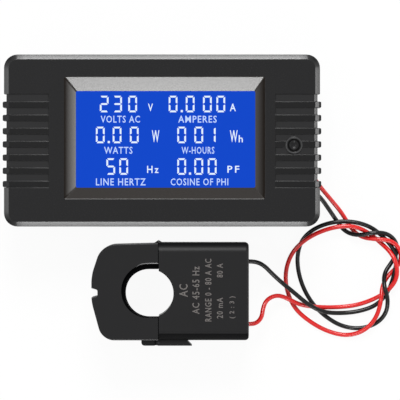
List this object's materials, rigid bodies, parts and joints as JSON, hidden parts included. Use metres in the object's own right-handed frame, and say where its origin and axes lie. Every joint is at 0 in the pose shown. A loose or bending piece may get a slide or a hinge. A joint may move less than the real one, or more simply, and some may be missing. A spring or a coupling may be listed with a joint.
{
  "type": "digital ac power meter with clamp sensor",
  "caption": "Panel power meter with a blue display and a ribbed bezel, wired by a red and a black lead to a hinged split-core clamp sensor.",
  "frame": {"origin": "centre of the meter's rear face", "axes": "+X along the meter's long side towards its button, +Y up the display, +Z out of the display; the meter lies on its back and the sensor on its side"},
  "size_m": [0.1135, 0.082, 0.0245],
  "materials": {
    "case_black": "fine satin grain",
    "zinc_steel": "zinc plated",
    "display_glass": "blue display cell, glossy",
    "light_guide": "diffuse white",
    "frame_white": "moulded",
    "tinned_pin": "tinned",
    "board_green": "solder mask",
    "chip_black": "moulded epoxy",
    "can_metal": "drawn can",
    "capacitor_box": "potted box",
    "capacitor_can": "sleeved can",
    "resistor_body": "lacquered",
    "switch_black": "moulded",
    "button_black": "smooth",
    "terminal_green": "moulded",
    "contact_brass": "tinned brass",
    "lead_red": "soft PVC",
    "lead_black": "soft PVC",
    "sensor_black": "fine satin grain",
    "grommet_rubber": "soft",
    "core_steel": "laminated",
    "bobbin_white": "moulded",
    "winding_copper": "enamelled copper",
    "pad_foam": "foam",
    "pin_steel": "drawn wire",
    "clamp_steel": "yellow zinc plated"
  },
  "bodies": {
    "meter_and_fixed_sensor_half": {"front_shell": "case_black", "rear_housing": "case_black", "case_screws": "zinc_steel", "lcd_glass": "display_glass", "backlight_panel": "light_guide", "display_frame": "frame_white", "display_pins": "tinned_pin", "main_board": "board_green", "metering_chip": "chip_black", "controller_chip": "chip_black", "memory_chip": "chip_black", "crystal": "can_metal", "film_capacitor": "capacitor_box", "filter_capacitors": "capacitor_can", "dropper_resistor": "resistor_body", "rectifier_diodes": "chip_black", "switch_body": "switch_black", "terminal_block": "terminal_green", "terminal_contacts": "contact_brass", "red_lead": "lead_red", "black_lead": "lead_black", "red_wire_end": "tinned_pin", "black_wire_end": "tinned_pin", "sensor_body": "sensor_black", "sensor_end_cap": "sensor_black", "lead_grommets": "grommet_rubber", "fixed_core": "core_steel", "bobbin": "bobbin_white", "winding": "winding_copper", "hinge_pin": "pin_steel"},
    "button": {"button_cap": "button_black", "switch_plunger": "switch_black"},
    "jaw": {"jaw_shell": "sensor_black", "jaw_core": "core_steel", "jaw_core_pad": "pad_foam"},
    "clamp_screw_1": {"terminal_screw_1": "clamp_steel"},
    "clamp_cage_1": {"terminal_cage_1": "clamp_steel"},
    "clamp_screw_2": {"terminal_screw_2": "clamp_steel"},
    "clamp_cage_2": {"terminal_cage_2": "clamp_steel"},
    "clamp_screw_3": {"terminal_screw_3": "clamp_steel"},
    "clamp_cage_3": {"terminal_cage_3": "clamp_steel"},
    "clamp_screw_4": {"terminal_screw_4": "clamp_steel"},
    "clamp_cage_4": {"terminal_cage_4": "clamp_steel"}
  },
  "joints": [
    {"name": "button_press", "type": "slide", "parent": "meter_and_fixed_sensor_half", "child": "button", "axis": [0, 0, -1], "range_m": [0, 0.00035], "stiffness_N_per_m": 3000},
    {"name": "jaw_hinge", "type": "hinge", "parent": "meter_and_fixed_sensor_half", "child": "jaw", "pos_m": [-0.001, -0.05704, 0.011], "axis": [0, 0, 1], "range_deg": [0, 100]},
    {"name": "terminal_screw_1_turn", "type": "hinge", "parent": "meter_and_fixed_sensor_half", "child": "clamp_screw_1", "pos_m": [0.0339, -0.0134, 0.0045], "axis": [0, 0, -1], "range_deg": [0, 1080]},
    {"name": "terminal_cage_1_lift", "type": "slide", "parent": "meter_and_fixed_sensor_half", "child": "clamp_cage_1", "axis": [0, 0, 1], "range_m": [0, 0.0015]},
    {"name": "terminal_screw_2_turn", "type": "hinge", "parent": "meter_and_fixed_sensor_half", "child": "clamp_screw_2", "pos_m": [0.0339, -0.00832, 0.0045], "axis": [0, 0, -1], "range_deg": [0, 1080]},
    {"name": "terminal_cage_2_lift", "type": "slide", "parent": "meter_and_fixed_sensor_half", "child": "clamp_cage_2", "axis": [0, 0, 1], "range_m": [0, 0.0015]},
    {"name": "terminal_screw_3_turn", "type": "hinge", "parent": "meter_and_fixed_sensor_half", "child": "clamp_screw_3", "pos_m": [0.0339, -0.00324, 0.0045], "axis": [0, 0, -1], "range_deg": [0, 1080]},
    {"name": "terminal_cage_3_lift", "type": "slide", "parent": "meter_and_fixed_sensor_half", "child": "clamp_cage_3", "axis": [0, 0, 1], "range_m": [0, 0.0015]},
    {"name": "terminal_screw_4_turn", "type": "hinge", "parent": "meter_and_fixed_sensor_half", "child": "clamp_screw_4", "pos_m": [0.0339, 0.00184, 0.0045], "axis": [0, 0, -1], "range_deg": [0, 1080]},
    {"name": "terminal_cage_4_lift", "type": "slide", "parent": "meter_and_fixed_sensor_half", "child": "clamp_cage_4", "axis": [0, 0, 1], "range_m": [0, 0.0015]}
  ],
  "couplings": [
    {"joint": "terminal_screw_1_turn", "follows": "terminal_cage_1_lift", "rad_per_m": 12566},
    {"joint": "terminal_screw_2_turn", "follows": "terminal_cage_2_lift", "rad_per_m": 12566},
    {"joint": "terminal_screw_3_turn", "follows": "terminal_cage_3_lift", "rad_per_m": 12566},
    {"joint": "terminal_screw_4_turn", "follows": "terminal_cage_4_lift", "rad_per_m": 12566}
  ]
}
